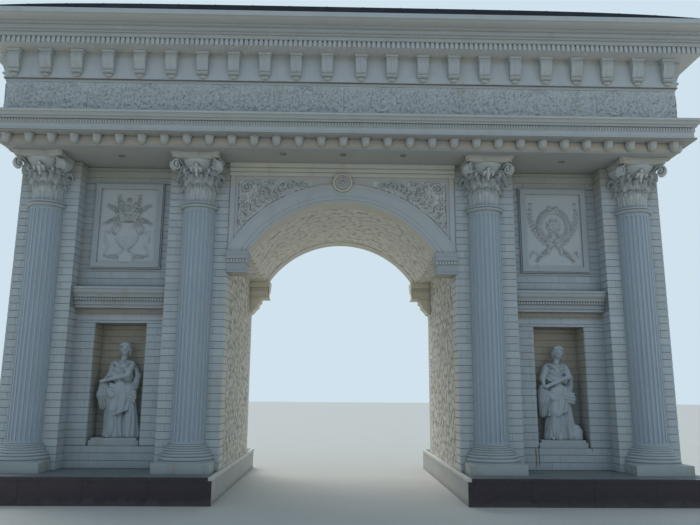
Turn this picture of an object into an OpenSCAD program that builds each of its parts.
// Triumphal arch gateway in tile-clad masonry: two piers on a stone-faced plinth,
// a segmental vault between them, engaged fluted columns and a full entablature.
// Millimetres, +Z up. The origin is on the ground at the centre of the plan,
// the front looks towards -Y, and the passage runs along Y.

/* [Wall and passage] */
// Width of the wall across both piers
wall_w = 10340; // [9400:10:12400]
// Thickness of the wall, front to back
wall_t = 3200; // [2700:10:3900]
// Clear width of the passage between the piers
passage_w = 3660; // [3200:10:4200]
// Height of the soffit under the entablature
soffit_z = 5196; // [5140:2:6000]

/* [Plinth] */
// Height of the plinth above the ground, with its floor slab
plinth_h = 380; // [300:5:480]
// Plinth beyond the front and back of the wall
plinth_front = 780; // [620:10:1000]
// Plinth beyond each end of the wall
plinth_end = 130; // [40:10:300]
// Plinth into the passage beyond the face of the pier
plinth_jamb = 70; // [20:5:120]
// Thickness of the floor slab on the plinth
floor_h = 45; // [40:5:90]
// Overhang of the floor slab over the plinth facing
floor_nosing = 12; // [2:1:30]

/* [Arch] */
// Height of the springing of the vault
spring_z = 3740; // [3640:5:3780]
// Clear span of the vault at its springing
arch_span = 2980; // [2700:10:3100]
// Rise of the vault from its springing to its crown
arch_rise = 817; // [700:1:900]
// Width of the archivolt ring round the vault
archivolt_w = 308; // [220:2:330]
// How far the archivolt stands out from the wall
archivolt_out = 45; // [25:1:70]
// Depth of the smooth band under the vault behind each archivolt
band_d = 350; // [250:10:450]
// How far the smooth band hangs under the rough vault
band_drop = 22; // [10:1:40]
// Radius of the medallion on the crown
medallion_r = 163; // [120:1:170]
// Centre of the medallion above the top of the archivolt
medallion_up = 20; // [0:1:60]
// Thickness of the medallion
medallion_t = 70; // [40:1:90]
// Width of the flat upright strips beside the spandrels
frame_w = 120; // [80:5:150]
// How far the upright strips stand out from the wall
frame_out = 30; // [15:1:40]
// Plain margin between an upright strip and the edge of the pier
frame_margin = 20; // [10:1:40]
// How far the carved spandrels stand out from the wall
spandrel_out = 22; // [12:1:32]
// Height of the string of mouldings over the arch
string_h = 210; // [150:5:230]
// How far the string of mouldings stands out
string_out = 70; // [40:1:100]

/* [Imposts] */
// Height of the impost blocks
impost_h = 350; // [280:5:420]
// How far the impost blocks stand out from the wall
impost_out = 62; // [40:1:90]
// Length of an impost block in the passage, from the wall face
impost_d = 350; // [300:5:420]
// How far the back imposts reach in past the front ones
impost_back_reach = 60; // [20:5:90]
// Height of the corbel under each back impost
corbel_h = 370; // [250:5:400]
// How far each corbel reaches into the passage
corbel_reach = 230; // [150:5:280]
// Thickness of the rough panels in the passage
panel_t = 18; // [10:1:30]
// Smooth border between a passage panel and the wall face
panel_border = 350; // [300:5:460]

/* [Columns] */
// Distance of the axis of an inner column from the face of the passage
column_inner_set = 464; // [435:1:500]
// Distance of the axis of an outer column from the end of the wall
column_outer_set = 445; // [430:1:490]
// Radius of a column shaft
shaft_r = 260; // [220:1:280]
// Number of flutes on the half shaft that shows
flute_count = 11; // [7:2:13]
// Radius of one flute
flute_r = 23; // [14:1:24]
// Height of the square block under a column
block_h = 144; // [100:2:180]
// Half the width of the square block under a column
block_half = 424; // [400:2:440]
// Height of the moulded base between block and shaft
base_h = 276; // [220:2:320]
// Height of the capital with its astragal and abacus
capital_h = 805; // [700:5:860]
// Height of the abacus
abacus_h = 140; // [100:2:160]
// Half the width of the abacus at its top
abacus_half = 415; // [400:1:428]
// How far the top of the abacus stands out from the wall
abacus_front = 600; // [500:5:640]
// Number of leaves in the lower row round the half capital
leaf_count = 5; // [3:2:7]
// Width of a leaf of a capital
leaf_w = 96; // [60:2:110]
// Thickness of a leaf of a capital
leaf_t = 26; // [16:1:32]
// Thickness of the scroll at each corner of a capital
scroll_w = 62; // [40:2:80]
// Radius of the scroll at each corner of a capital
scroll_r = 56; // [40:1:60]
// Distance of the centre of a corner scroll from the axis of the column
scroll_reach = 492; // [470:2:500]

/* [Bays] */
// Half the width of the recessed bay between two pilaster strips
bay_half = 736; // [680:2:760]
// Depth of the recessed bay
bay_d = 285; // [200:5:340]
// Height of the top of the string course in a bay
bay_string_z = 3155; // [3050:5:3250]
// Height of the string course in a bay
bay_string_h = 320; // [260:5:340]
// How far the string course lies behind the face of the pilaster strips
bay_string_back = 48; // [20:2:80]
// Half the width of a niche
niche_half = 414; // [360:2:460]
// Height of the floor of a niche
niche_z = 708; // [640:2:800]
// Height of the opening of a niche
niche_h = 1894; // [1700:2:1960]
// Depth of a niche behind the bay
niche_d = 400; // [300:10:460]
// Half the width of a relief panel
relief_half = 567; // [500:2:620]
// Height of the bottom edge of a relief panel
relief_z = 3480; // [3420:5:3560]
// Height of a relief panel
relief_h = 1440; // [1300:5:1500]
// Thickness of the frame round a relief
relief_out = 60; // [40:2:90]
// Width of the frame round a relief
relief_frame_w = 105; // [70:5:140]
// How far the field of a relief lies behind its frame
relief_sunk = 30; // [15:1:40]

/* [Statues] */
// Height of the slab under a statue
slab_h = 118; // [80:2:140]
// Width of the slab under a statue
slab_w = 640; // [560:10:700]
// Depth of the slab under a statue
slab_d = 360; // [280:10:380]
// Height of a statue from its slab to the top of the head
statue_h = 1500; // [1350:10:1600]
// Thickness of a statue, front to back
statue_d = 300; // [240:5:310]

/* [Entablature] */
// How far the architrave stands out in front of the wall
entab_front = 720; // [600:10:900]
// How far the architrave stands out beyond the end of the wall
entab_end = 15; // [5:1:60]
// Height of the architrave band with the cup brackets
architrave_h = 167; // [150:1:200]
// Number of cup brackets along one long side
bracket_count = 31; // [21:2:35]
// Width of a cup bracket at its top
bracket_w = 144; // [90:2:150]
// Height of a cup bracket
bracket_h = 138; // [90:2:145]
// Width of a cup bracket at its foot
bracket_foot_w = 90; // [60:2:100]
// Depth of a cup bracket behind its round front
bracket_neck = 54; // [20:2:80]
// Distance of the last cup bracket from the corner
bracket_edge = 77; // [76:1:160]
// Height of the lower cornice
lower_cornice_h = 302; // [260:2:360]
// How far the lower cornice stands out at its soffit
lower_cornice_out = 190; // [130:2:210]
// How far the top fillet of the lower cornice stands out
lower_cornice_top = 300; // [250:2:340]
// Height of the carved frieze
frieze_h = 600; // [520:2:700]
// How far the frieze stands out in front of the architrave
frieze_out = 25; // [10:1:50]
// Height of the band that carries the consoles
console_band_h = 450; // [400:2:520]
// How far the console band stands out in front of the architrave
console_band_out = 52; // [40:1:80]
// Number of consoles along one long side
console_count = 22; // [14:2:24]
// Width of a console
console_w = 180; // [140:2:200]
// Width of a console at its foot
console_foot_w = 164; // [120:2:180]
// How far a console stands out from its band
console_out = 116; // [80:1:140]
// Height of a console with its cap and leaf
console_h = 434; // [340:2:436]
// Distance of the last console from the corner
console_edge = 148; // [120:1:240]
// Extra gap between the two consoles in the middle of a long side
console_mid_gap = 44; // [0:2:80]
// Height of the dentil course
dentil_h = 95; // [70:1:110]
// How far the face of the dentil course stands out
dentil_out = 345; // [300:1:400]
// Spacing of the dentils
dentil_pitch = 74.3; // [60:0.1:110]
// Width of a dentil
dentil_w = 46; // [30:1:56]
// Depth of the gaps between the dentils
dentil_gap_d = 32; // [20:1:60]
// Height of the upper cornice over the dentils
upper_cornice_h = 280; // [240:2:340]
// How far the top of the upper cornice stands out
upper_cornice_out = 680; // [560:5:760]
// Rise of the cambered roof cap at the centre
roof_rise = 115; // [60:1:160]
// Thickness of the roof cap at its ends
roof_edge = 12; // [5:1:30]
// Gap between the edge of the roof cap and the cornice
roof_back = 60; // [20:5:200]

/* [Lights] */
// Distance in front of the wall of the fittings over the arch
light_y = 490; // [450:5:600]
// Distance in front of the wall of the fittings over the bays
bay_light_y = 305; // [100:5:600]
// Distance between the three fittings over the arch
light_gap = 940; // [700:10:1300]
// Radius of a soffit fitting
light_r = 50; // [35:1:70]
// How far a soffit fitting hangs under the soffit
light_drop = 14; // [8:1:25]

/* [Hidden] */
$fn = 64;

half_w = wall_w/2;
half_t = wall_t/2;
jamb_x = passage_w/2;
column_inner_x = jamb_x + column_inner_set;
column_outer_x = half_w - column_outer_set;
bay_x = (column_inner_x + column_outer_x)/2;
column_xs = [-column_outer_x, -column_inner_x, column_inner_x, column_outer_x];
spring_x = arch_span/2;
impost_z = spring_z - impost_h;
arch_r = (spring_x*spring_x + arch_rise*arch_rise)/(2*arch_rise);
arch_cz = spring_z + arch_rise - arch_r;
ring_r = arch_r + archivolt_w;
medallion_z = arch_cz + ring_r + medallion_up;
string_z = soffit_z - string_h;
frame_x = jamb_x - frame_margin;
bay_floor_z = bay_string_z - bay_string_h;
base_z = plinth_h + block_h;
shaft_z = base_z + base_h;
capital_z = soffit_z - capital_h;
neck_h = 90;
bell_h = capital_h - neck_h - abacus_h;
bell_r = shaft_r + 15;
arch_x = half_w + entab_end;
arch_y = half_t + entab_front;
lower_z = soffit_z + architrave_h;
frieze_z = lower_z + lower_cornice_h;
console_z = frieze_z + frieze_h;
dentil_z = console_z + console_band_h;
upper_z = dentil_z + dentil_h;
top_z = upper_z + upper_cornice_h;
white = [0.80, 0.80, 0.77];
shade = [0.66, 0.67, 0.66];
stone = [0.36, 0.33, 0.32];
// Room left where one curved piece is let into another
fit_gap = 1;
// Steps round the large circles of the arch
arch_fn = 288;

// Points along an arc with centre c and radius r, from angle a to angle b,
// its height flattened by the factor flat
function arc(c, r, a, b, n = 8, flat = 1) =
    [for (i = [0:n]) [c[0] + r*cos(a + (b - a)*i/n), c[1] + flat*r*sin(a + (b - a)*i/n)]];

// Both ends of a course: the profile on one side, and its mirror on the other
function two_ended(half, profile) = concat(
    [for (q = profile) [half + q[0], q[1]]],
    [for (i = [len(profile) - 1:-1:0]) [-half - profile[i][0], profile[i][1]]]);

// A box given by two opposite corners
module block(a, b) {
    translate(a) cube(b - a);
}

// Children on both long faces: x along the wall, y into it from its face
module both_faces() {
    for (b = [0, 1]) mirror([0, b, 0]) translate([0, -half_t, 0]) children();
}

// Children on the right and mirrored on the left
module both_sides() {
    for (s = [0, 1]) mirror([s, 0, 0]) children();
}

// A course round the whole building with mitred corners, its profile given
// from bottom to top as [how far out, height]
module mitred_course(half_x, half_y, profile) {
    reach = max([for (q = profile) q[0]]) + 1;
    intersection() {
        rotate([90, 0, 90]) linear_extrude(2*(half_x + reach), center = true)
            polygon(two_ended(half_y, profile));
        rotate([90, 0, 0]) linear_extrude(2*(half_y + reach), center = true)
            polygon(two_ended(half_x, profile));
    }
}

// A straight moulding along x on the plane y = 0, standing out towards -y
module straight_moulding(length, profile) {
    rotate([90, 0, 90]) linear_extrude(length, center = true)
        polygon(concat([[0, profile[0][1]]], [for (q = profile) [-q[0], q[1]]],
                       [[0, profile[len(profile) - 1][1]]]));
}

// Children set out evenly along the four sides of a rectangle, facing outwards,
// with an extra gap in the middle of the long sides
module round_the_building(half_x, half_y, count, edge, mid_gap = 0) {
    pitch = (2*(half_x - edge) - mid_gap)/(count - 1);
    end_count = round(2*(half_y - edge)/pitch) + 1;
    end_pitch = 2*(half_y - edge)/(end_count - 1);
    for (b = [0, 1], i = [0:count - 1]) mirror([0, b, 0])
        translate([(i - (count - 1)/2)*pitch + mid_gap*sign(i - (count - 1)/2)/2, -half_y, 0])
            children();
    for (s = [0, 1], i = [0:end_count - 1]) mirror([s, 0, 0])
        translate([half_x, (i - (end_count - 1)/2)*end_pitch, 0]) rotate([0, 0, 90]) children();
}

// Dark stone facing of the plinth under each pier
module plinths() {
    color(stone) both_sides()
        block([jamb_x - plinth_jamb + floor_nosing, -half_t - plinth_front + floor_nosing, 0],
              [half_w + plinth_end - floor_nosing, half_t + plinth_front - floor_nosing,
               plinth_h - floor_h]);
}

// Paved slab on each plinth, with a small nosing over the facing
module plinth_floors() {
    color([0.62, 0.60, 0.56]) both_sides()
        block([jamb_x - plinth_jamb, -half_t - plinth_front, plinth_h - floor_h],
              [half_w + plinth_end, half_t + plinth_front, plinth_h]);
}

// Mass of masonry of each pier between the planes of the bays, with its niches
module piers() {
    color(white) both_sides() difference() {
        block([jamb_x, -half_t + bay_d, plinth_h], [half_w, half_t - bay_d, soffit_z]);
        both_faces() block([bay_x - niche_half, bay_d - 1, niche_z],
                           [bay_x + niche_half, bay_d + niche_d, niche_z + niche_h]);
    }
}

// Tiled pilaster strips that carry the columns and frame the bays
module pilaster_strips() {
    color(white) both_sides() both_faces() {
        block([jamb_x, 0, plinth_h], [bay_x - bay_half, bay_d, soffit_z]);
        block([bay_x + bay_half, 0, plinth_h], [half_w, bay_d, soffit_z]);
    }
}

// Segmental vault and the wall over it: two smooth bands, a rough field between
module vault() {
    color(white) difference() {
        block([-jamb_x, -half_t, spring_z], [jamb_x, half_t, soffit_z]);
        translate([0, 0, arch_cz]) rotate([90, 0, 0]) {
            cylinder(r = arch_r, h = wall_t + 2, center = true, $fn = arch_fn);
            cylinder(r = arch_r + band_drop, h = wall_t - 2*band_d, center = true, $fn = arch_fn);
        }
    }
}

// Rough chiselled panels on the two sides of the passage
module passage_panels() {
    color([0.72, 0.68, 0.60]) both_sides()
        block([jamb_x - panel_t, -half_t + panel_border, plinth_h],
              [jamb_x, half_t - panel_border, impost_z]);
}

// Ring of stepped mouldings round the arch, let in round the medallion
module archivolts() {
    w = archivolt_w;
    t = archivolt_out;
    color(white) both_faces() difference() {
        intersection() {
            translate([0, 0, arch_cz]) rotate([90, 0, 0]) rotate_extrude($fn = arch_fn)
                polygon([[arch_r, 0], [arch_r, t*0.45], [arch_r + w*0.14, t*0.45],
                         [arch_r + w*0.16, t*0.65], [arch_r + w*0.34, t*0.65],
                         [arch_r + w*0.37, t*0.85], [arch_r + w*0.86, t*0.85],
                         [arch_r + w*0.89, t], [ring_r, t], [ring_r, 0]]);
            block([-frame_x, -t - 1, spring_z], [frame_x, 1, soffit_z]);
        }
        medallion_hole();
    }
}

// Round space that the medallion takes from the pieces behind it
module medallion_hole() {
    translate([0, 1, medallion_z]) rotate([90, 0, 0])
        cylinder(r = medallion_r + fit_gap, h = medallion_t + string_out + 2);
}

// Round medallion with a raised rim, a hollow and a boss
module medallions() {
    r = medallion_r;
    t = medallion_t;
    color(white) both_faces() translate([0, 0, medallion_z]) rotate([90, 0, 0])
        rotate_extrude()
            polygon(concat([[0, 0], [r, 0], [r, t*0.7]], arc([r - t*0.3, t*0.7], t*0.3, 0, 180),
                           [[r*0.7, t*0.55], [r*0.66, t*0.85], [r*0.58, t*0.85], [r*0.54, t*0.6],
                            [r*0.2, t*0.7], [0, t*0.9]]));
}

// Carved panels between the archivolt, the string and the upright strips
module spandrels() {
    color(shade) both_faces() rotate([90, 0, 0]) linear_extrude(spandrel_out) difference() {
        translate([-frame_x + frame_w, spring_z]) square([2*(frame_x - frame_w), string_z - spring_z]);
        translate([0, arch_cz]) circle(r = ring_r + fit_gap, $fn = arch_fn);
        translate([0, medallion_z]) circle(r = medallion_r + fit_gap);
    }
}

// Flat upright strips of two steps beside the spandrels
module frame_strips() {
    color(white) both_sides() both_faces() difference() {
        union() {
            block([frame_x - frame_w, -frame_out*0.7, spring_z], [frame_x, 0, string_z]);
            block([frame_x - frame_w*0.62, -frame_out, spring_z], [frame_x, 0, string_z]);
        }
        translate([0, 1, arch_cz]) rotate([90, 0, 0])
            cylinder(r = ring_r + fit_gap, h = archivolt_out + 2, $fn = arch_fn);
    }
}

// String of fillets over the arch, under the soffit
module arch_strings() {
    h = string_h;
    t = string_out;
    color(white) both_faces() difference() {
        translate([0, 0, string_z])
            straight_moulding(2*jamb_x,
                [[t*0.5, 0], [t*0.5, h*0.26], [t*0.3, h*0.28], [t*0.3, h*0.32], [t*0.7, h*0.35],
                 [t*0.7, h*0.58], [t*0.5, h*0.6], [t*0.5, h*0.64], [t, h*0.68], [t, h]]);
        medallion_hole();
    }
}

// Block of mouldings under a springing: reach into the passage from the jamb,
// stand out from the wall face, length behind the wall face
module impost(reach, out, length) {
    h = impost_h;
    sets = [[14, 0], [14, h*0.08], [30, h*0.1], [30, h*0.42], [18, h*0.44], [18, h*0.6],
            [6, h*0.63], [6, h*0.8], [0, h*0.84], [0, h]];
    translate([0, 0, impost_z]) intersection() {
        translate([0, length + 1, 0]) rotate([90, 0, 0]) linear_extrude(length + out + 2)
            polygon(concat([[jamb_x, 0]], [for (q = sets) [jamb_x - reach + q[0], q[1]]], [[jamb_x, h]]));
        translate([jamb_x - reach - 1, 0, 0]) rotate([90, 0, 90]) linear_extrude(reach + 2)
            polygon(concat([[length, 0]], [for (q = sets) [-out + q[0], q[1]]], [[length, h]]));
    }
}

// Front pair of imposts
module imposts_front() {
    color(white) both_sides() translate([0, -half_t, 0])
        impost(jamb_x - spring_x, impost_out, impost_d);
}

// Back pair of imposts, which reach further into the passage
module imposts_back() {
    color(white) both_sides() mirror([0, 1, 0]) translate([0, -half_t, 0])
        impost(jamb_x - spring_x + impost_back_reach, impost_out, impost_d);
}

// Corbel under each back impost, which steps back and down in two rounds
module corbels() {
    r = corbel_reach;
    h = corbel_h;
    color(white) both_sides() translate([0, half_t, impost_z]) rotate([90, 0, 0])
        linear_extrude(impost_d)
            polygon(concat([[jamb_x, 0], [jamb_x - r, 0], [jamb_x - r, -h*0.22],
                            [jamb_x - r*0.84, -h*0.26]],
                           arc([jamb_x - r*0.62, -h*0.42], r*0.16, 180, 260, 6),
                           arc([jamb_x - r*0.22, -h*0.68], r*0.18, 180, 260, 6),
                           [[jamb_x - r*0.12, -h*0.84], [jamb_x, -h]]));
}

// Children on the axis of every column, at the foot of the given height
module at_columns(z) {
    both_faces() for (x = column_xs) translate([x, 0, z]) children();
}

// Square block under each column
module column_blocks() {
    color(white) at_columns(plinth_h) block([-block_half, -block_half, 0], [block_half, 0, block_h]);
}

// Moulded base of each column: wide lower member, fillet, two rolls and foot
module column_bases() {
    h = base_h;
    r = shaft_r;
    color(white) at_columns(base_z) rotate([0, 0, 180]) rotate_extrude(angle = 180)
        polygon(concat([[0, 0], [r*1.56, 0]], arc([r*1.5, h*0.13], h*0.13, -60, 60),
                       arc([r*1.53, h*0.47], h*0.26, -110, -170, 6), [[r*1.22, h*0.44], [r*1.22, h*0.5]],
                       arc([r*1.2, h*0.57], h*0.07, -90, 90, 6), [[r*1.14, h*0.66]],
                       arc([r*1.14, h*0.74], h*0.08, -90, 90, 6), [[r*1.02, h*0.83], [r*1.02, h], [0, h]]));
}

// Outline of one flute, a round channel with rounded ends, to be turned
function flute(r, h) = concat(arc([0, r], r, -90, 0, 2), arc([0, h - r], r, 0, 90, 2));

// Half round shafts with a slight taper and upright flutes
module column_shafts() {
    h = capital_z - shaft_z;
    foot = 8;
    head = 46;
    taper = 4;
    step = 180/(flute_count + 1);
    color(white) at_columns(shaft_z) rotate([0, 0, 180]) difference() {
        rotate_extrude(angle = 180) polygon([[0, 0], [shaft_r, 0], [shaft_r - taper, h], [0, h]]);
        for (i = [1:flute_count]) rotate([0, 0, i*step]) translate([shaft_r, 0, foot])
            rotate_extrude($fn = 32) polygon(flute(flute_r, h - foot - head));
    }
}

// Two rolls between the shaft and the capital
module capital_necks() {
    r = shaft_r;
    color(white) at_columns(capital_z) rotate([0, 0, 180]) rotate_extrude(angle = 180)
        polygon(concat([[0, 0], [r*1.08, 0]], arc([r*1.1, neck_h*0.26], neck_h*0.22, -90, 90, 6),
                       [[r*1.06, neck_h*0.52]], arc([r*1.08, neck_h*0.76], neck_h*0.2, -90, 90, 6),
                       [[r*1.04, neck_h], [0, neck_h]]));
}

// Side outline of a leaf that stands against the bell and curls outwards
function leaf(h, t) = [[0, 0], [t*0.6, 0], [t*0.8, h*0.45], [t*1.15, h*0.7], [t*1.7, h*0.8],
    [t*2.2, h*0.7], [t*2.6, h*0.78], [t*2.3, h*0.92], [t*1.5, h], [t*0.7, h*0.97], [0, h*0.86]];

// Capital: flared bell, two rows of curled leaves, a lily on the middle of the face
// and a scroll on a curved stalk at each corner
module capitals() {
    h = bell_h;
    r = bell_r;
    sunk = 20;
    step = 180/leaf_count;
    stalk = scroll_reach - r*0.9;
    color(white) at_columns(capital_z + neck_h) rotate([0, 0, 180]) union() {
        rotate_extrude(angle = 180) polygon([[0, 0], [r, 0], [r, h*0.08], [r*0.96, h*0.1],
            [r*0.98, h*0.7], [r*1.06, h*0.85], [r*1.24, h*0.97], [r*1.24, h], [0, h]]);
        for (i = [1:leaf_count]) rotate([0, 0, (i - 0.5)*step])
            translate([r - sunk, leaf_w/2, h*0.12]) rotate([90, 0, 0])
                linear_extrude(leaf_w) polygon(leaf(h*0.28, leaf_t));
        for (i = [1:leaf_count - 1]) rotate([0, 0, i*step])
            translate([r - sunk, leaf_w*0.46, h*0.14]) rotate([90, 0, 0])
                linear_extrude(leaf_w*0.92) polygon(leaf(h*0.52, leaf_t));
        translate([0, r*0.98, h*0.62])
            cylinder(r1 = leaf_w*0.3, r2 = leaf_w*0.8, h = h*0.38);
        for (a = [48, 132]) rotate([0, 0, a]) translate([r*0.9, scroll_w/2, h*0.5])
            rotate([90, 0, 0]) linear_extrude(scroll_w) {
                polygon([[0, 0], [stalk*0.12, 0], [stalk*0.3, h*0.2], [stalk*0.6, h*0.34],
                         [stalk, h*0.42], [stalk, h*0.49], [0, h*0.49]]);
                translate([stalk, h*0.49 - scroll_r]) circle(r = scroll_r);
            }
    }
}

// Moulded slab on each capital in steps that widen upwards, each as
// [share of the width, share of the reach, bottom, top], its three sides hollowed in plan
module abaci() {
    hollow = 36;
    color(white) at_columns(soffit_z - abacus_h)
        for (q = [[0.9, 0.72, 0, 0.26], [0.94, 0.83, 0.26, 0.5], [0.97, 0.92, 0.5, 0.72], [1, 1, 0.72, 1]]) {
            s = abacus_half*q[0];
            d = abacus_front*q[1];
            front_r = (s*s + hollow*hollow)/(2*hollow);
            side_r = (d*d + hollow*hollow)/(2*hollow);
            difference() {
                block([-s, -d, abacus_h*q[2]], [s, 0, abacus_h*q[3]]);
                translate([0, -d - front_r + hollow, -1]) cylinder(r = front_r, h = abacus_h + 2, $fn = arch_fn);
                for (e = [-1, 1]) translate([e*(s + side_r - hollow), 0, -1])
                    cylinder(r = side_r, h = abacus_h + 2, $fn = arch_fn);
            }
        }
}

// String course across each bay: fillets, a hollow and a broad face
module bay_strings() {
    out = bay_d - bay_string_back;
    h = bay_string_h;
    color(white) both_sides() both_faces() translate([bay_x, bay_d, bay_floor_z])
        straight_moulding(2*bay_half,
            concat([[out*0.42, 0], [out*0.42, h*0.14], [out*0.5, h*0.16], [out*0.5, h*0.34],
                    [out*0.62, h*0.36], [out*0.62, h*0.5], [out*0.7, h*0.52]],
                   arc([out*0.98, h*0.54], out*0.24, 190, 110, 6),
                   [[out*0.95, h*0.78], [out*0.95, h*0.88], [out, h*0.9], [out, h]]));
}

// Two-stepped frame round each relief
module relief_frames() {
    a = relief_half;
    w = relief_frame_w;
    color(white) both_sides() both_faces() translate([bay_x, bay_d, relief_z])
        rotate([90, 0, 0]) for (q = [[0, 0.65], [0.35, 1]]) linear_extrude(relief_out*q[1])
            difference() {
                translate([-a + w*q[0]*0.6, w*q[0]*0.6])
                    square([2*(a - w*q[0]*0.6), relief_h - 2*w*q[0]*0.6]);
                translate([-a + w, w]) square([2*(a - w), relief_h - 2*w]);
            }
}

// Slab inside each frame that carries the carving
module relief_fields() {
    a = relief_half - relief_frame_w;
    color(shade) both_sides() both_faces() translate([bay_x, bay_d, relief_z + relief_frame_w])
        block([-a, -relief_out + relief_sunk, 0], [a, 0, relief_h - 2*relief_frame_w]);
}

// Slab under each statue, on the floor of the front niches
module statue_slabs() {
    color(white) both_sides() translate([bay_x, -half_t + bay_d + niche_d/2, niche_z])
        block([-slab_w/2, -slab_d/2, 0], [slab_w/2, slab_d/2, slab_h]);
}

// A ball of radius r at a place given in hundredths of the height of the figure
module ball(p, r) {
    k = statue_h/100;
    translate([p[0]*k, p[1]*k, p[2]*k]) sphere(r = r*k, $fn = 20);
}

// A tapering limb or fold between two such balls
module limb(a, ra, b, rb) {
    hull() {
        ball(a, ra);
        ball(b, rb);
    }
}

// Children on the slab of the statue on one side, kept within the depth of a figure
module on_slab(side) {
    translate([side*bay_x, -half_t + bay_d + niche_d/2, niche_z + slab_h]) intersection() {
        children();
        block([-slab_w, -statue_d/2, 0], [slab_w, statue_d/2, statue_h]);
    }
}

// Body common to both draped figures: long skirt, upper skirt, hips, chest, neck and head
module draped_body(head_x, waist_x) {
    hull() {
        ball([-10, 0, 1], 5);
        ball([7, 0, 1], 5);
        ball([waist_x - 2, 0, 40], 8);
        ball([waist_x + 4, 0, 40], 8);
    }
    hull() {
        ball([waist_x - 8, -1, 26], 6);
        ball([waist_x + 8, -1, 24], 6);
        ball([waist_x - 2, 0, 52], 7);
        ball([waist_x + 3, 0, 52], 7);
    }
    hull() {
        ball([waist_x, 0, 54], 7.5);
        ball([head_x - 8, 0, 77], 5);
        ball([head_x + 5, 0, 77], 5);
    }
    limb([head_x*0.8, 0, 78], 3.6, [head_x, -0.5, 88], 3.2);
    limb([head_x, -1, 92], 5.6, [head_x, -1, 94], 5.9);
    ball([head_x + 4, 2, 94], 4);
}

// Draped figure of the left niche, a forearm laid across and drapery hung from the hand
module statue_left() {
    color(shade) on_slab(-1) union() {
        draped_body(3.5, 1);
        limb([9, 0, 77], 4, [8, -3, 66], 3.4);
        limb([8, -3, 66], 3.2, [-18, -5, 57], 2.6);
        limb([-6, 0, 76], 3.6, [-14, 1, 62], 3);
        limb([-16, -4, 56], 4, [-18, -2, 28], 6.2);
        limb([-6, -6, 49], 3, [19, -2, 42], 3.2);
        limb([19, -1, 40], 3.4, [16, 0, 5], 4.8);
        limb([9, 0, 74], 3.2, [18, 2, 66], 2.6);
    }
}

// Draped figure of the right niche, with a looped drape and a rock beside the skirt
module statue_right() {
    color(shade) on_slab(1) union() {
        draped_body(1.6, 0);
        limb([8, 0, 77], 3.8, [12, -3, 67], 3.2);
        limb([12, -3, 67], 3.2, [-15, -5, 55], 2.6);
        limb([-9, 0, 77], 4, [-17, 0, 70], 3.6);
        limb([-17, 0, 70], 3.6, [-13, -3, 61], 3.4);
        limb([-15, -3, 57], 3.6, [-19, -1, 24], 4.2);
        limb([-8, -6, 48], 3, [18, -2, 43], 3.2);
        limb([11, 0, 4], 6, [17, 0, 4], 6);
        limb([14, 0, 12], 3, [17, 0, 2], 6);
    }
}

// Plain band over the columns
module architrave() {
    h = architrave_h;
    color(white) translate([0, 0, soffit_z]) mitred_course(arch_x, arch_y,
        [[-8, 0], [-8, h*0.12], [0, h*0.16], [0, h]]);
}

// Half outline of a cup bracket, from its foot to its top
function cup(f, r, h) = [[0, 0], [f*0.6, 0], [f, h*0.08], [f*1.08, h*0.26], [r*0.94, h*0.72],
    [r, h*0.8], [r, h], [0, h]];

// Tapering brackets with a round front in a row on the architrave
module cup_brackets() {
    half = cup(bracket_foot_w/2, bracket_w/2, bracket_h);
    color(white) translate([0, 0, lower_z - bracket_h])
        round_the_building(arch_x, arch_y, bracket_count, bracket_edge) union() {
            rotate([90, 0, 0]) linear_extrude(bracket_neck) for (e = [0, 1]) mirror([e, 0]) polygon(half);
            translate([0, -bracket_neck, 0]) rotate([0, 0, 180]) rotate_extrude(angle = 180) polygon(half);
        }
}

// Lower cornice: lip, face, bead, steps and a hollow under the top fillet
module lower_cornice() {
    h = lower_cornice_h;
    a = lower_cornice_out;
    b = lower_cornice_top;
    color(white) translate([0, 0, lower_z]) mitred_course(arch_x, arch_y,
        concat([[a + 16, 0], [a + 16, h*0.08], [a, h*0.11], [a - 12, h*0.13], [a - 12, h*0.37],
                [a, h*0.4], [a, h*0.62], [a + 25, h*0.64], [a + 25, h*0.74]],
               arc([b, h*0.76], 60, 180, 90, 6, 0.65), [[b, h]]));
}

// Carved frieze between two narrow borders
module frieze() {
    h = frieze_h;
    t = frieze_out;
    color(white) translate([0, 0, frieze_z]) mitred_course(arch_x, arch_y,
        [[t + 10, 0], [t + 10, h*0.07], [t, h*0.08], [t, h*0.92], [t + 10, h*0.93], [t + 10, h]]);
}

// Plain band that carries the consoles
module console_band() {
    h = console_band_h;
    t = console_band_out;
    color(white) translate([0, 0, console_z]) mitred_course(arch_x, arch_y,
        [[t + 10, 0], [t + 10, h*0.02], [t, h*0.03], [t, h]]);
}

// Scrolled consoles that narrow downwards, with a cap and a leaf at the foot
module consoles() {
    t = console_out;
    h = console_h;
    cap = 45;
    top = console_w/2;
    low = console_foot_w/2;
    color(white) translate([0, 0, dentil_z])
        round_the_building(arch_x + console_band_out, arch_y + console_band_out, console_count,
                           console_edge, console_mid_gap) {
            union() {
                block([-console_w*0.56, -t, -cap], [console_w*0.56, 0, 0]);
                intersection() {
                    rotate([90, 0, 90]) linear_extrude(console_w + 2, center = true)
                        polygon(concat([[0, -h], [0, -cap], [-t*0.93, -cap]],
                            arc([-t*0.62, -cap - h*0.1], t*0.33, 150, 230, 6),
                            [[-t*0.66, -h*0.4], [-t*0.5, -h*0.68]],
                            arc([-t*0.34, -h*0.765], t*0.27, 160, 290, 7),
                            [[-t*0.3, -h*0.88], [-t*0.36, -h*0.92], [-t*0.2, -h]]));
                    rotate([90, 0, 0]) linear_extrude(t + 2)
                        polygon([[-top, -cap], [top, -cap], [low, -h], [-low, -h]]);
                }
            }
        }
}

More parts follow.
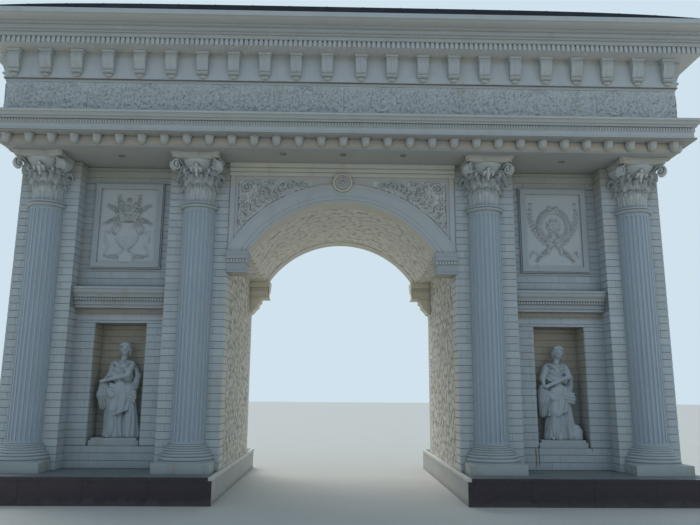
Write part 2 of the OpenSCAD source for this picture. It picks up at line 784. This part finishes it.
// Outline in plan of one side of the dentil course, from -half to +half
function teeth(half, out, n, pitch) = [for (i = [0:n - 1], k = [0:3])
    [(i - (n - 1)/2)*pitch + (k < 2 ? -dentil_w/2 : dentil_w/2),
     -out - (k == 1 || k == 2 ? dentil_gap_d : 0)]];

// A ring of dentils, cut as one plan outline and raised
module dentil_course() {
    bx = arch_x + dentil_out - dentil_gap_d;
    by = arch_y + dentil_out - dentil_gap_d;
    nx = floor(2*bx/dentil_pitch);
    ny = floor(2*by/dentil_pitch);
    color(white) translate([0, 0, dentil_z]) linear_extrude(dentil_h) polygon(concat(
        [[-bx, -by]], teeth(bx, by, nx, 2*bx/nx),
        [[bx, -by]], [for (q = teeth(by, bx, ny, 2*by/ny)) [-q[1], q[0]]],
        [[bx, by]], [for (q = teeth(bx, by, nx, 2*bx/nx)) [-q[0], -q[1]]],
        [[-bx, by]], [for (q = teeth(by, bx, ny, 2*by/ny)) [q[1], -q[0]]]));
}

// Upper cornice: fillets that step out, a round, and the top face
module upper_cornice() {
    h = upper_cornice_h;
    a = dentil_out;
    b = upper_cornice_out;
    step = (b - a)/10;
    color(white) translate([0, 0, upper_z]) mitred_course(arch_x, arch_y,
        concat([[a + step*0.8, 0], [a + step*0.8, h*0.21], [a + step*1.6, h*0.22],
                [a + step*1.6, h*0.32], [a + step*2.8, h*0.34], [a + step*2.8, h*0.53],
                [a + step*4.3, h*0.54], [a + step*4.3, h*0.63]],
               arc([a + step*4.7, h*0.72], step*4.1, -90, 0, 8, h*0.08/(step*4.1)),
               [[b, h*0.74], [b, h]]));
}

// Dark cambered roof cap
module roof_cap() {
    a = arch_x + upper_cornice_out - roof_back;
    b = arch_y + upper_cornice_out - roof_back;
    rise = roof_rise;
    camber_r = (a*a + rise*rise)/(2*rise);
    span = asin(a/camber_r);
    color([0.13, 0.15, 0.20]) translate([0, b, top_z]) rotate([90, 0, 0]) linear_extrude(2*b)
        polygon(concat([[-a, 0], [a, 0]],
                       arc([0, rise + roof_edge - camber_r], camber_r, 90 - span, 90 + span, 32)));
}

// Small round fittings under the soffit, over the arch and over each bay
module soffit_lights() {
    color([0.5, 0.48, 0.42]) both_faces()
        for (q = [[-bay_x, bay_light_y], [-light_gap, light_y], [0, light_y], [light_gap, light_y],
                  [bay_x, bay_light_y]])
            translate([q[0], -q[1], soffit_z - light_drop]) cylinder(r = light_r, h = light_drop);
}

plinths();
plinth_floors();
piers();
pilaster_strips();
vault();
passage_panels();
archivolts();
medallions();
spandrels();
frame_strips();
arch_strings();
imposts_front();
imposts_back();
corbels();
column_blocks();
column_bases();
column_shafts();
capital_necks();
capitals();
abaci();
bay_strings();
relief_frames();
relief_fields();
statue_slabs();
statue_left();
statue_right();
architrave();
cup_brackets();
lower_cornice();
frieze();
console_band();
consoles();
dentil_course();
upper_cornice();
roof_cap();
soffit_lights();
